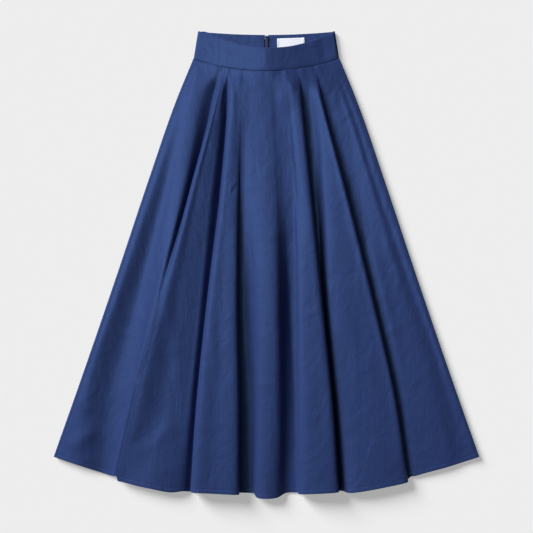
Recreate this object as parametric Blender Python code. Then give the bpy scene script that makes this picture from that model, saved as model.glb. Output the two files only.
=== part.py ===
"""A midi skirt laid flat: smooth back panels on the surface, a front that lies on them in deep soft folds,
a shaped waistband, a zip at the centre back and a woven label.

+X is to the right as seen from above, +Y runs from the hem to the waist and +Z points up off the surface.
The origin is on the surface, under the middle of the skirt. Tables and sizes are in millimetres.
"""

from typing import NamedTuple

import bmesh
import bpy
import numpy as np
from mathutils import Matrix

MM = 0.001

# Cloth
WALL = 1.4  # the skirt's satin with its turned edges
BAND_WALL = 2.4  # the doubled waistband
SEAM_GAP = 0.3
RESTING = WALL + SEAM_GAP + 0.5 * WALL  # the mid-surface of cloth that lies on the back panels

# Lengths down the skirt, measured at the sides and at the centre
SIDE_TOP = 461.8  # top edge of the waistband at the side seams
BACK_DIP = 6.6  # the back waistband's top edge dips this much at the zip
FRONT_DIP = 34.4  # and the front one's this much, to its lowest point
FRONT_LOWEST = 8.0  # which lies this far right of the centre
DIP_ROUNDNESS = 1.25  # more makes the dip more of a V, less makes it more of a U
BAND_TOP_HALF = 137.5  # half the width of the waistband along its top edge
BAND_SEAM_HALF = 146.0  # and along its seam
SEAM_SIDE = 407.7  # the waist seam at the side seams
FRONT_SEAM_DIP = 27.0  # the front of the seam dips this much at the centre
HEM_SIDE = -385.8  # the hem at the side seams
FRONT_HEM_DROP = 73.5  # how much lower the hem hangs at the centre of the front
BACK_HEM_DROP = 66.0

# The rounded sides, where the back turns over to meet the front
ROLL_HEIGHT = 8.6
SEAM_INSET = 5.0  # the side seam lies this far inside the outline
WAIST_RISE = 15.8  # the front waistband stands this much higher at its middle, in a soft ridge
RIDGE_SOFTNESS = 0.12
FOLDS_START = 0.05  # share of the way down within which the folds leave the waist seam's smooth arch

# Levels down the front, as shares of the way from the waist seam to the hem
LEVELS = (0.0, 0.12, 0.34, 0.67, 1.0)  # waist, yoke, hip, knee, hem
OUTLINE = (146.0, 184.8, 244.6, 332.5, 424.4)  # half the skirt's width at each level


class Edge(NamedTuple):
    """A fold's raised edge, which hangs over the valley beside it. Each tuple has a value for each level."""

    name: str
    faces: int  # -1 where the valley is on the left, 1 where it is on the right
    at: tuple  # place across the skirt
    lip: tuple  # height of the raised cloth
    floor: tuple  # height of the valley's bottom
    tuck: float  # how far the cloth runs back under the edge
    gap: float  # width of the open valley
    bottom: float  # how far off the edge the valley's bottom lies, as a share of the gap
    drop: float  # extra length at the hem
    valley_drop: float  # and that of the valley


class Swell(NamedTuple):
    """A soft ridge or trough between two edges. Each tuple has a value for each level."""

    name: str
    at: tuple
    height: tuple
    drop: float


# From the left side seam to the right one
FOLDS = (
    Swell("side_1", (-134, -173, -232, -321, -414), (9.5, 9.5, 10, 10, 8), 0),
    Swell("trough_1", (-122, -158, -216, -279, -322), (11, 10, 4.5, 3.2, 3.5), 3),
    Swell("rise_1", (-115, -146, -184, -240, -304), (12.5, 12.5, 11, 13, 6), 3),
    Edge("edge_2", -1, (-88, -115, -165, -233, -292), (17, 17, 17, 18, 15), (13, 7, 6, 11, 3),
         3, 8, 0.3, 9, 1),
    Swell("flank_2", (-84, -101, -136, -185, -214), (18, 17, 13, 13, 13), 11),
    Edge("edge_3_left", -1, (-73, -79, -95, -127, -150), (20, 22, 25, 26, 26), (16, 9, 3, 2.6, 2.6),
         5, 11, 0.3, 3, 6),
    Swell("crown_3", (-63, -69, -82, -91, -106), (21.5, 24, 28.5, 30.5, 31), 1),
    Edge("edge_3_right", 1, (-53, -59, -65, -57, -55), (21.5, 22.5, 25.5, 26, 26), (21, 19, 8, 3, 3),
         4, 14, 0.3, 0, 0),
    Swell("flank_c_left", (-29, -38, -34, -30, -27), (22.5, 22.5, 23.5, 25, 27), 0),
    Swell("crest_c", (-2, -7, -12, -7, -3), (23.5, 25, 28, 31, 34), 3),
    Swell("flank_c_right", (15, 9, 8, 12, 17), (22.5, 23.5, 24.5, 26, 28), 4),
    Edge("edge_5_left", -1, (35, 37, 56, 56, 57), (22, 23, 25, 26, 26), (21.3, 20, 9, 3, 3),
         4, 26, 0.8, 0, 0),
    Swell("crown_5", (44, 51, 73, 90, 101), (21.8, 24, 28.5, 30.5, 31), 1),
    Edge("edge_5_right", 1, (57, 69, 89, 120, 143), (20, 21.5, 24.5, 25, 25), (16, 9, 3, 2.8, 2.8),
         5, 9, 0.35, 2, 4),
    Swell("slope_6", (76, 92, 116, 144, 172), (18, 16, 11, 10, 9), 8),
    Swell("flank_6", (86, 101, 137, 182, 218), (17.5, 17, 16, 16, 15), 8),
    Edge("edge_6", 1, (98, 112, 161, 227, 280.5), (16, 16.5, 17, 17, 15), (12.5, 7, 3, 3.5, 3),
         4, 10, 0.3, 8, 1),
    Swell("rise_7", (113, 136, 189, 254, 316), (12, 10, 7.5, 7.5, 7), 0),
    Swell("crest_7", (122, 156, 211, 284, 357), (10.5, 9.5, 9.5, 10.5, 9), 0),
    Swell("trough_7", (129, 168, 227, 309, 395), (10, 8.5, 7, 6.5, 6), 0),
    Swell("side_7", (136, 174.5, 233.5, 322, 414), (9.3, 9, 8.5, 8.5, 8), 0),
)

# Zip and label
ZIP_LENGTH = 190.0
TAPE_HALF = 3.7  # how much of each tape shows beside the zip's centre line
TAPE_WALL = 0.5
GROOVE_HALF = 4.0  # the waistband's inner layer stops this far from the centre line
COIL_HALF, COIL_HEIGHT = 2.3, 1.7
SLIDER_Y = 449.3
SLIDER_LENGTH, SLIDER_WIDTH, SLIDER_HEIGHT = 9.0, 7.6, 2.4
PIVOT_RISE = 1.5  # the pull tab's axis stands this much over the slider's body
PIN_RADIUS, EYE_RADIUS, KNUCKLE_RADIUS = 0.6, 0.9, 1.5
EAR_HALF, EAR_WALL = 2.3, 0.9
PULL_LENGTH, PULL_WIDTH, PULL_WALL = 21.0, 5.0, 0.9
PULL_TILT = 4.9  # degrees, down to the coil
LABEL_WIDTH, LABEL_HEIGHT, LABEL_WALL = 54.0, 22.0, 0.5
LABEL_X, LABEL_Y, LABEL_TILT = 47.8, 437.8, 2.1

# How finely the solids are made
ROWS = 19
SPAN_STEPS = 2


def hermite(knots, values, at):
    """A smooth curve through values at knots, read at the places in at. The slope at a knot is that between
    its neighbours. values may have further axes after the first."""
    knots, values, at = np.asarray(knots, float), np.asarray(values, float), np.asarray(at, float)
    slopes = np.gradient(values, knots, axis=0, edge_order=1)
    i = np.clip(np.searchsorted(knots, at, side="right") - 1, 0, len(knots) - 2)
    step = knots[i + 1] - knots[i]
    s = (at - knots[i]) / step
    more = (slice(None),) + (None,) * (values.ndim - 1)
    s, step = s[more], step[more]
    return (
        (2 * s**3 - 3 * s**2 + 1) * values[i]
        + (s**3 - 2 * s**2 + s) * step * slopes[i]
        + (3 * s**2 - 2 * s**3) * values[i + 1]
        + (s**3 - s**2) * step * slopes[i + 1]
    )


def smooth_section(points, steps):
    """Points along a smooth curve through each row's stations, steps of them to a span. The spacing of the
    curve's parameter is the square root of the chord, which keeps tight turns from looping."""
    chord = np.sqrt(np.linalg.norm(np.diff(points, axis=1), axis=2))
    knots = np.concatenate([np.zeros((len(points), 1)), np.cumsum(chord, axis=1)], axis=1)
    rows = []
    for row_knots, row in zip(knots, points):
        ends = [np.linspace(a, b, steps, endpoint=False) for a, b in zip(row_knots[:-1], row_knots[1:])]
        rows.append(hermite(row_knots, row, np.concatenate(ends + [row_knots[-1:]])))
    return np.array(rows)


def waist_arch(x, half):
    """Height of the front's mid-surface at the waist: low at the side seams, a tent with a rounded ridge."""
    share = np.abs(x) / (half - SEAM_INSET)
    slope = (np.sqrt(share**2 + RIDGE_SOFTNESS**2)) / np.sqrt(1.0 + RIDGE_SOFTNESS**2)
    return ROLL_HEIGHT + WAIST_RISE * np.maximum(1.0 - slope, 0.0)


def front_seam_y(x):
    return SEAM_SIDE - FRONT_SEAM_DIP * (1.0 - (x / BAND_SEAM_HALF) ** 2)


def hem_y(x, drop):
    return HEM_SIDE - drop * (1.0 - (x / OUTLINE[-1]) ** 2)


def leaving_arch(height, at, t):
    """The heights of a line down the front, which starts on the waist seam's arch."""
    early = np.maximum(1.0 - t / FOLDS_START, 0.0) ** 1.5
    return height + early * (waist_arch(at[0], BAND_SEAM_HALF) - height)


def edge_stations(edge, t):
    """Stations over a raised edge, in order from the valley to the raised cloth: the valley's near side, its
    bottom, the turn under the edge, the edge itself and its shoulder. Each has a place, a height, a drop."""
    at, lip, floor = (hermite(LEVELS, values, t) for values in (edge.at, edge.lip, edge.floor))
    lip, floor = leaving_arch(lip, at, t), leaving_arch(floor, at, t)
    rise = lip - floor
    share = np.clip(rise / 18.0, 0.0, 1.0)
    inwards = -edge.faces
    tuck, gap = edge.tuck * share - 0.8 * (1.0 - share), edge.gap * (0.4 + 0.6 * share)
    stations = [
        (at - inwards * gap, floor + 0.22 * rise, edge.valley_drop),
        (at - inwards * edge.bottom * gap, floor, edge.valley_drop),
        (at + inwards * tuck, floor + 0.25 * rise, edge.drop),
        (at + inwards * 0.6 * (1.0 - share), floor + 0.68 * rise, edge.drop),
        (at + inwards * (2.2 + 4.8 * share), lip, edge.drop),
    ]
    stations = [(x, z, np.full(len(t), drop)) for x, z, drop in stations]
    return stations if edge.faces < 0 else stations[::-1]


def front_stations(t):
    """Every station across the front at the shares t of the way down, as an array of rows by stations of
    places, heights and drops, with the side seams at the two ends."""
    half, seam = hermite(LEVELS, OUTLINE, t), np.full(len(t), ROLL_HEIGHT)
    stations = [(SEAM_INSET - half, seam, np.zeros(len(t)))]
    for fold in FOLDS:
        if isinstance(fold, Edge):
            stations += edge_stations(fold, t)
        else:
            at = hermite(LEVELS, fold.at, t)
            height = leaving_arch(hermite(LEVELS, fold.height, t), at, t)
            stations.append((at, height, np.full(len(t), fold.drop)))
    stations.append((half - SEAM_INSET, seam, np.zeros(len(t))))
    return np.array(stations).transpose(2, 0, 1)


def front_surface(rows, steps):
    """The front panel's mid-surface: each row a smooth section through the stations. A station runs in a
    straight line from its place on the waist seam to its place on the hem."""
    t = np.linspace(0.0, 1.0, rows)
    stations = front_stations(t)
    top_x, hem_x, drop = stations[0, :, 0], stations[-1, :, 0], stations[0, :, 2]
    top, hem = front_seam_y(top_x) - SEAM_GAP, hem_y(hem_x, FRONT_HEM_DROP) - drop
    y = top[None, :] + (hem - top)[None, :] * t[:, None]
    rows_of = np.stack([stations[..., 0], y, stations[..., 1]], axis=2)
    surface = smooth_section(rows_of, steps)
    surface[..., 2] = np.maximum(surface[..., 2], RESTING)
    return surface


def side_roll(half, sign, wall):
    """The outer surface of the back's rounded side, from the flat underside to the side seam, for the half
    widths in half, as places and heights."""
    inward = np.array([12.0, 5.5, 1.4, 0.0, 1.3, 3.2, SEAM_INSET - SEAM_GAP - 0.2 * wall])
    top = ROLL_HEIGHT + 0.5 * wall
    height = np.array([0.0, 0.3, 2.3, 5.0, 7.7, top - 0.35, top])
    x = sign * (half[:, None] - inward[None, :])
    return x, np.broadcast_to(height, x.shape)


def normals_of(grid):
    """The unit normal at each point of a grid of rows by columns."""
    down, across = np.gradient(grid, axis=0), np.gradient(grid, axis=1)
    normal = np.cross(across, -down)
    return normal / np.linalg.norm(normal, axis=2, keepdims=True)


def shell(name, outer, inner, material):
    """A closed wall between two grids of the same shape, in millimetres. outer is the side that faces up."""
    rows, columns = outer.shape[:2]
    count = rows * columns
    index = np.arange(count).reshape(rows, columns)
    a, b, c, d = index[:-1, :-1], index[1:, :-1], index[1:, 1:], index[:-1, 1:]
    upper = np.stack([a, b, c, d], axis=-1).reshape(-1, 4)
    lower = upper[:, ::-1] + count
    rim = np.concatenate([index[0, ::-1], index[1:, 0], index[-1, 1:], index[-2:0:-1, -1]])
    ahead = np.roll(rim, -1)
    wall = np.stack([ahead, rim, rim + count, ahead + count], axis=-1)
    mesh = bpy.data.meshes.new(name)
    points = np.concatenate([outer.reshape(-1, 3), inner.reshape(-1, 3)]) * MM
    mesh.from_pydata(points.tolist(), [], np.concatenate([upper, lower, wall]).tolist())
    mesh.update()
    mesh.shade_smooth()
    mesh.set_sharp_from_angle(angle=np.radians(50))
    return add_object(name, mesh, material)


def add_object(name, mesh, material):
    mesh.materials.append(material)
    thing = bpy.data.objects.new(name, mesh)
    bpy.context.scene.collection.objects.link(thing)
    return thing


def make_material(name, color, roughness, metallic=0.0):
    made = bpy.data.materials.new(name)
    made.use_nodes = True
    shader = made.node_tree.nodes["Principled BSDF"]
    shader.inputs["Base Color"].default_value = (*color, 1.0)
    shader.inputs["Roughness"].default_value = roughness
    shader.inputs["Metallic"].default_value = metallic
    return made


def front_panel(satin):
    surface = front_surface(ROWS, SPAN_STEPS)
    out = normals_of(surface) * 0.5 * WALL
    return shell("front_panel", surface + out, surface - out, satin)


def back_top_y(x):
    return SIDE_TOP - BACK_DIP * (1.0 - (x / BAND_TOP_HALF) ** 2)


def back_seam_y(x):
    return SEAM_SIDE - BACK_DIP * (1.0 - (x / BAND_SEAM_HALF) ** 2)


def back_half(name, sign, half, flat_shares, top_y, foot_y, walls, steps, material):
    """Half of a back piece: its underside flat on the surface from the centre to the rounded side, with a
    wall of the given thicknesses above it. top_y and foot_y give its ends' places for shares of the width."""
    wall = walls[-1]
    roll_x, roll_z = side_roll(half, sign, wall)
    flat_x = sign * (0.5 * SEAM_GAP + (np.abs(roll_x[:, :1]) - 0.5 * SEAM_GAP) * flat_shares[None, :])
    x = np.concatenate([flat_x, roll_x], axis=1)
    z = np.concatenate([np.zeros_like(flat_x), roll_z], axis=1)
    t = np.linspace(0.0, 1.0, len(half))
    top, foot = top_y(x[0]), foot_y(x[-1])
    y = top[None, :] + (foot - top)[None, :] * t[:, None]
    under = smooth_section(np.stack([x, y, z], axis=2), steps)
    walls = np.repeat(np.concatenate([walls, np.full(roll_x.shape[1], wall)]), steps)[: under.shape[1]]
    under, walls = (under, walls) if sign > 0 else (under[:, ::-1], walls[::-1])
    return shell(name, under + normals_of(under) * walls[None, :, None], under, material)


def back_panel(name, sign, satin):
    half = hermite(LEVELS, OUTLINE, np.linspace(0.0, 1.0, ROWS))
    shares = np.array([0.0, 0.5])
    return back_half(
        name,
        sign,
        half,
        shares,
        lambda x: back_seam_y(x) - SEAM_GAP,
        lambda x: hem_y(x, BACK_HEM_DROP),
        np.full(2, WALL),
        SPAN_STEPS,
        satin,
    )


def waistband_front(satin):
    """The front waistband: a tent across the waist whose top edge dips to the front."""
    across, down = np.linspace(-1.0, 1.0, 33)[None, :], np.linspace(0.0, 1.0, 5)[:, None]
    half = BAND_TOP_HALF + (BAND_SEAM_HALF - BAND_TOP_HALF) * down
    x = across * (half - SEAM_INSET)
    off_lowest = (x[0] - FRONT_LOWEST) / (BAND_TOP_HALF - SEAM_INSET)
    dip = FRONT_DIP * np.maximum(1.0 - off_lowest**2, 0.0) ** DIP_ROUNDNESS
    top, foot = SIDE_TOP - dip, front_seam_y(x[-1])
    surface = np.stack([x, top + (foot - top) * down, waist_arch(x, half)], axis=2)
    out = normals_of(surface) * 0.5 * BAND_WALL
    return shell("waistband_front", surface + out, surface - out, satin)


def waistband_back(name, sign, satin):
    """Half of the back waistband. Its inner layer stops short of the zip, which lies in the groove left."""
    half = np.linspace(BAND_TOP_HALF, BAND_SEAM_HALF, 5)
    flat = BAND_TOP_HALF - 12.0
    shares = np.array([0.0, GROOVE_HALF / flat, (GROOVE_HALF + 0.1) / flat, 0.5])
    walls = np.array([WALL, WALL, BAND_WALL, BAND_WALL])
    return back_half(name, sign, half, shares, back_top_y, back_seam_y, walls, 1, satin)


def prism(name, outline, low, high, material):
    """An outline in X and Y raised from low to high."""
    mesh = bpy.data.meshes.new(name)
    shape = bmesh.new()
    face = shape.faces.new([shape.verts.new((x * MM, y * MM, low * MM)) for x, y in outline])
    raised = bmesh.ops.extrude_face_region(shape, geom=[face])["geom"]
    corners = [part for part in raised if isinstance(part, bmesh.types.BMVert)]
    bmesh.ops.translate(shape, verts=corners, vec=(0, 0, (high - low) * MM))
    bmesh.ops.recalc_face_normals(shape, faces=shape.faces)
    shape.to_mesh(mesh)
    shape.free()
    return add_object(name, mesh, material)


def rod_across(name, radius, half_length, place, material, sides=24):
    """A round rod along X through a place given in Y and Z."""
    mesh = bpy.data.meshes.new(name)
    shape = bmesh.new()
    turned = Matrix.Translation((0, place[0] * MM, place[1] * MM)) @ Matrix.Rotation(np.pi / 2, 4, "Y")
    bmesh.ops.create_cone(
        shape,
        cap_ends=True,
        segments=sides,
        radius1=radius * MM,
        radius2=radius * MM,
        depth=2 * half_length * MM,
        matrix=turned,
    )
    shape.to_mesh(mesh)
    shape.free()
    return add_object(name, mesh, material)


def combine(thing, other, operation):
    """Unites an object with another, or cuts it by the other, which is then only a guide."""
    step = thing.modifiers.new(other.name, "BOOLEAN")
    step.operation, step.object, step.solver = operation, other, "EXACT"
    other.hide_render, other.display_type = True, "WIRE"


def soften(thing, width):
    bevel = thing.modifiers.new("softened", "BEVEL")
    bevel.width, bevel.segments, bevel.limit_method = width * MM, 2, "ANGLE"


def rounded(width, length, taper, corners=28):
    """The outline of a plate with well rounded corners that is wider towards +Y by the share in taper."""
    angle = np.linspace(0.0, 2 * np.pi, corners, endpoint=False)
    side, end = np.cos(angle), np.sin(angle)
    x = 0.5 * width * np.sign(side) * np.abs(side) ** 0.6 * (1.0 + taper * end)
    y = 0.5 * length * np.sign(end) * np.abs(end) ** 0.6
    return np.stack([x, y], axis=1)


def zip_tape(name, sign, cloth):
    near, far = sign * 0.5 * SEAM_GAP, sign * TAPE_HALF
    top = SLIDER_Y + 0.5 * SLIDER_LENGTH
    outline = [(near, top - ZIP_LENGTH), (far, top - ZIP_LENGTH), (far, top), (near, top)]
    low = WALL + SEAM_GAP
    return prism(name, outline, low, low + TAPE_WALL, cloth)


def tape_top():
    return WALL + SEAM_GAP + TAPE_WALL


def zip_coil(metal):
    """The closed coil: a low arch along the zip, flat where it lies on the tapes."""
    arc = np.linspace(0.0, np.pi, 9)
    low = tape_top() + SEAM_GAP
    x, z = COIL_HALF * np.cos(arc), low + COIL_HEIGHT * np.sin(arc)
    top = SLIDER_Y - 0.5 * SLIDER_LENGTH - SEAM_GAP
    foot = SLIDER_Y + 0.5 * SLIDER_LENGTH - ZIP_LENGTH + 2.0
    mesh = bpy.data.meshes.new("zip_coil")
    shape = bmesh.new()
    face = shape.faces.new([shape.verts.new((a * MM, foot * MM, b * MM)) for a, b in zip(x, z)])
    raised = bmesh.ops.extrude_face_region(shape, geom=[face])["geom"]
    corners = [part for part in raised if isinstance(part, bmesh.types.BMVert)]
    bmesh.ops.translate(shape, verts=corners, vec=(0, (top - foot) * MM, 0))
    bmesh.ops.recalc_face_normals(shape, faces=shape.faces)
    shape.to_mesh(mesh)
    shape.free()
    return add_object("zip_coil", mesh, metal)


def pivot():
    """Where the pull tab's axis lies, in Y and Z."""
    return SLIDER_Y + 1.0, tape_top() + SEAM_GAP + SLIDER_HEIGHT + PIVOT_RISE


def zip_slider(metal):
    """The slider's body on the tapes, with two ears that carry the pull tab's pin."""
    low = tape_top() + SEAM_GAP
    outline = rounded(SLIDER_WIDTH, SLIDER_LENGTH, 0.12) + [0.0, SLIDER_Y]
    slider = prism("zip_slider", outline, low, low + SLIDER_HEIGHT, metal)
    soften(slider, 0.5)
    y, z = pivot()
    for side in (-1, 1):
        near, far = sorted([side * EAR_HALF, side * (EAR_HALF + EAR_WALL)])
        ear = rod_across(f"ear_{side}", KNUCKLE_RADIUS, 0.5 * EAR_WALL, (y, z), metal)
        ear.location.x = 0.5 * (near + far) * MM
        back, front = y - KNUCKLE_RADIUS, y + KNUCKLE_RADIUS
        foot = [(near, back), (far, back), (far, front), (near, front)]
        root = prism(f"ear_root_{side}", foot, low + 0.5 * SLIDER_HEIGHT, z, metal)
        combine(slider, root, "UNION")
        combine(slider, ear, "UNION")
    pin = rod_across("pin", PIN_RADIUS, EAR_HALF + 0.5 * EAR_WALL, (y, z), metal, 16)
    combine(slider, pin, "UNION")
    return slider


def zip_pull(metal):
    """The pull tab: an eye round the pin and a plate that lies down over the coil."""
    y, z = pivot()
    tilt = Matrix.Translation((0, y * MM, z * MM)) @ Matrix.Rotation(np.radians(PULL_TILT), 4, "X")
    half = EAR_HALF - 0.25
    pull = rod_across("zip_pull", KNUCKLE_RADIUS, half, (0.0, 0.0), metal)
    neck = half - 0.2
    radius = 0.5 * PULL_WIDTH
    turns = np.linspace(0, np.pi, 11)
    end = [(radius * np.cos(a), radius - PULL_LENGTH - radius * np.sin(a)) for a in turns]
    outline = [(neck, -0.8), (neck, -4.0)] + end + [(-neck, -4.0), (-neck, -0.8)]
    plate = prism("pull_plate", outline, -0.5 * PULL_WALL, 0.5 * PULL_WALL, metal)
    hole = rod_across("pull_eye", EYE_RADIUS, half + 1.0, (0.0, 0.0), metal, 16)
    combine(pull, plate, "UNION")
    combine(pull, hole, "DIFFERENCE")
    for thing in (plate, hole, pull):
        thing.matrix_world = tilt
    return pull


def make_label(woven):
    low = BAND_WALL + SEAM_GAP
    outline = [
        (-0.5 * LABEL_WIDTH, -0.5 * LABEL_HEIGHT),
        (0.5 * LABEL_WIDTH, -0.5 * LABEL_HEIGHT),
        (0.5 * LABEL_WIDTH, 0.5 * LABEL_HEIGHT),
        (-0.5 * LABEL_WIDTH, 0.5 * LABEL_HEIGHT),
    ]
    sewn = prism("label", outline, low, low + LABEL_WALL, woven)
    sewn.matrix_world = Matrix.Translation((LABEL_X * MM, LABEL_Y * MM, 0)) @ Matrix.Rotation(
        np.radians(LABEL_TILT), 4, "Z"
    )
    return sewn


def main():
    for thing in list(bpy.data.objects):
        bpy.data.objects.remove(thing)
    satin = make_material("navy_satin", (0.045, 0.085, 0.23), 0.45)
    tape = make_material("navy_zip_tape", (0.02, 0.03, 0.07), 0.8)
    coil = make_material("navy_nylon_coil", (0.02, 0.025, 0.05), 0.4)
    metal = make_material("painted_zip_metal", (0.12, 0.13, 0.18), 0.4, 0.6)
    woven = make_material("white_woven_label", (0.8, 0.8, 0.82), 0.8)
    front_panel(satin)
    back_panel("back_panel_left", -1, satin)
    back_panel("back_panel_right", 1, satin)
    waistband_front(satin)
    waistband_back("waistband_back_left", -1, satin)
    waistband_back("waistband_back_right", 1, satin)
    zip_tape("zip_tape_left", -1, tape)
    zip_tape("zip_tape_right", 1, tape)
    zip_coil(coil)
    zip_slider(metal)
    zip_pull(metal)
    make_label(woven)


main()
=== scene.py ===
"""The looks of a midi skirt in navy cotton satin, laid flat on its back.

Each cloth piece is a thin wall with soft edges, worked out from tables of folds and creases. The coil, the
bare label and the sewing are made one by one, and the other parts of the zip keep their solids. +X is to the
right as seen from above, +Y runs from the hem to the waist and +Z points up off the surface. Tables and sizes
are in millimetres, as on a cutter's sheet, and meshes are in metres.
"""

import logging
import math
from dataclasses import dataclass
from enum import Enum
from typing import NamedTuple

import bpy
import numpy as np
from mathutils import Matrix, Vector


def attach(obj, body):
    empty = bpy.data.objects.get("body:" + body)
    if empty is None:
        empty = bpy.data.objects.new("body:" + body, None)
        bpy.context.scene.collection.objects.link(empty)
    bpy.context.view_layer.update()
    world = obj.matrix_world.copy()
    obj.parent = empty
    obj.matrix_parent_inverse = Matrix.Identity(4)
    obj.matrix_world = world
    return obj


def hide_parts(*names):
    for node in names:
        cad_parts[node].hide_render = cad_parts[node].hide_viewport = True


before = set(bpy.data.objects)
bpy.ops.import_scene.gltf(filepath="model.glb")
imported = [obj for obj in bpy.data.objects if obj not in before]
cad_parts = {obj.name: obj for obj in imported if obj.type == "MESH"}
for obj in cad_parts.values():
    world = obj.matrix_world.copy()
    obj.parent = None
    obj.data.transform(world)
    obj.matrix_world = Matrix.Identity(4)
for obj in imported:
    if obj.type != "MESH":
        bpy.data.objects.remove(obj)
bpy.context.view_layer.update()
log = logging.getLogger("skirt")

Pair = tuple[float, float]
Sockets = tuple[tuple[str, object], ...]

MM = 0.001
BODY = "skirt"


class Slot(Enum):
    """The record's material slots of the pieces that are made here."""

    SATIN = "navy_satin"
    COIL = "navy_nylon_coil"
    LABEL = "white_woven_label"


# Curves and surfaces


def cubic(s: np.ndarray, step: np.ndarray, ends: tuple, slopes: tuple) -> np.ndarray:
    """The cubic that has those values and slopes at the two ends of a span as long as the step, read at the
    share s of the way."""
    return (
        (2 * s**3 - 3 * s**2 + 1) * ends[0]
        + (s**3 - 2 * s**2 + s) * step * slopes[0]
        + (3 * s**2 - 2 * s**3) * ends[1]
        + (s**3 - s**2) * step * slopes[1]
    )


def hermite(knots: np.ndarray, values: np.ndarray, at: np.ndarray) -> np.ndarray:
    """A smooth curve through values at knots: on each span the cubic whose end slopes are those between the
    neighbours on both sides.

    Args:
        knots: The places of the values, rising.
        values: One value, or one row of values, for each knot.
        at: The places where the curve is read.

    Returns:
        The curve's values at those places.
    """
    knots, values, at = np.asarray(knots, float), np.asarray(values, float), np.asarray(at, float)
    slopes = np.gradient(values, knots, axis=0, edge_order=1)
    i = np.clip(np.searchsorted(knots, at, side="right") - 1, 0, len(knots) - 2)
    step = knots[i + 1] - knots[i]
    s = (at - knots[i]) / step
    more = (slice(None),) + (None,) * (values.ndim - 1)
    return cubic(s[more], step[more], (values[i], values[i + 1]), (slopes[i], slopes[i + 1]))


def smooth_sections(points: np.ndarray, steps: np.ndarray) -> np.ndarray:
    """Each row's smooth section through its stations: on each span the cubic through both stations whose
    slopes are those between the neighbours. The curve's parameter grows by the square root of the chord,
    which keeps tight turns from looping.

    Args:
        points: Rows by stations by three.
        steps: How many pieces each span is cut into.

    Returns:
        Rows by columns by three.
    """
    chord = np.sqrt(np.linalg.norm(np.diff(points, axis=1), axis=2))[..., None]
    rise = np.diff(points, axis=1) / chord
    before, after = chord[:, :-1], chord[:, 1:]
    between = (rise[:, :-1] * after + rise[:, 1:] * before) / (before + after)
    slopes = np.concatenate([rise[:, :1], between, rise[:, -1:]], axis=1)
    i = np.append(np.repeat(np.arange(len(steps)), steps), len(steps) - 1)
    s = np.append(np.concatenate([np.arange(n) / n for n in steps]), 1.0)[None, :, None]
    return cubic(s, chord[:, i], (points[:, i], points[:, i + 1]), (slopes[:, i], slopes[:, i + 1]))


def steps_for(points: np.ndarray, spacing: float, fewest: int, most: int) -> np.ndarray:
    """How many pieces each span takes for its mean length over all rows to be cut about that finely.

    Args:
        points: Rows by stations by three.
        spacing: The wanted distance between columns.
        fewest: At least so many pieces.
        most: At most so many.

    Returns:
        One whole number for each span.
    """
    length = np.linalg.norm(np.diff(points, axis=1), axis=2).mean(axis=0)
    return np.clip(np.round(length / spacing), fewest, most).astype(int)


def unit(vectors: np.ndarray) -> np.ndarray:
    """The vectors, each divided by its length."""
    return vectors / np.maximum(np.linalg.norm(vectors, axis=-1, keepdims=True), 1e-9)


def normals_of(grid: np.ndarray) -> np.ndarray:
    """The unit normal at each point of a grid: the cross product of its two directions."""
    down, across = np.gradient(grid, axis=0), np.gradient(grid, axis=1)
    return unit(np.cross(across, -down))


def fading(distance: np.ndarray, width: float) -> np.ndarray:
    """A bell: one at no distance, falling as the exponential of minus the squared distance over the width."""
    return np.exp(-((distance / width) ** 2))


def eased(share: np.ndarray) -> np.ndarray:
    """The share held between nothing and one, with a smooth start and end: three squares less two cubes."""
    share = np.clip(share, 0.0, 1.0)
    return share * share * (3.0 - 2.0 * share)


CREASE_FADE = 0.3  # share of a crease's length in which each end fades


class Crease(NamedTuple):
    """A soft ridge or trough pressed into cloth, in the plan view."""

    name: str
    start: Pair
    end: Pair
    bow: float  # how far its middle lies off the straight line
    width: float  # half its width
    height: float  # below nothing for a trough

    def relief(self, x: np.ndarray, y: np.ndarray) -> np.ndarray:
        """The height that the crease adds: a bell across it, faded in and out along it.

        Args:
            x: Places across, in millimetres.
            y: Places along, in millimetres.

        Returns:
            Heights, in millimetres.
        """
        start, end = np.array(self.start), np.array(self.end)
        length = np.linalg.norm(end - start)
        ahead = (end - start) / length
        along = ((x - start[0]) * ahead[0] + (y - start[1]) * ahead[1]) / length
        off = (y - start[1]) * ahead[0] - (x - start[0]) * ahead[1]
        off = off - self.bow * 4.0 * along * (1.0 - along)
        ends = eased(np.minimum(along, 1.0 - along) / CREASE_FADE)
        return self.height * fading(off, self.width) * ends


def relief_of(creases: tuple[Crease, ...], x: np.ndarray, y: np.ndarray) -> np.ndarray:
    """The sum of the creases' reliefs at places across and along."""
    return sum((crease.relief(x, y) for crease in creases), np.zeros_like(x))


# Meshes


def link(name: str, mesh: bpy.types.Mesh, material: bpy.types.Material) -> bpy.types.Object:
    """An object for the mesh, smoothly shaded, in the scene."""
    mesh.materials.append(material)
    mesh.shade_smooth()
    thing = bpy.data.objects.new(name, mesh)
    bpy.context.scene.collection.objects.link(thing)
    return thing


def mesh_of(name: str, points: np.ndarray, faces: np.ndarray) -> bpy.types.Mesh:
    """A mesh from points in millimetres and faces of one size."""
    mesh = bpy.data.meshes.new(name)
    mesh.from_pydata((points.reshape(-1, 3) * MM).tolist(), [], faces.tolist())
    mesh.update()
    return mesh


def lay_threads(mesh: bpy.types.Mesh, across: np.ndarray, along: np.ndarray) -> None:
    """Writes the piece's own UV map: metres of cloth across and along its threads.

    Args:
        mesh: The mesh, whose vertices are in the order of the two arrays.
        across: Metres across for each vertex.
        along: Metres along for each vertex.
    """
    corner = np.zeros(len(mesh.loops), np.int32)
    mesh.loops.foreach_get("vertex_index", corner)
    layer = mesh.uv_layers.new(name="threads")
    layer.data.foreach_set("uv", np.stack([across, along], axis=1)[corner].astype(np.float32).ravel())


TUBE_SIDES = 6


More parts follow.
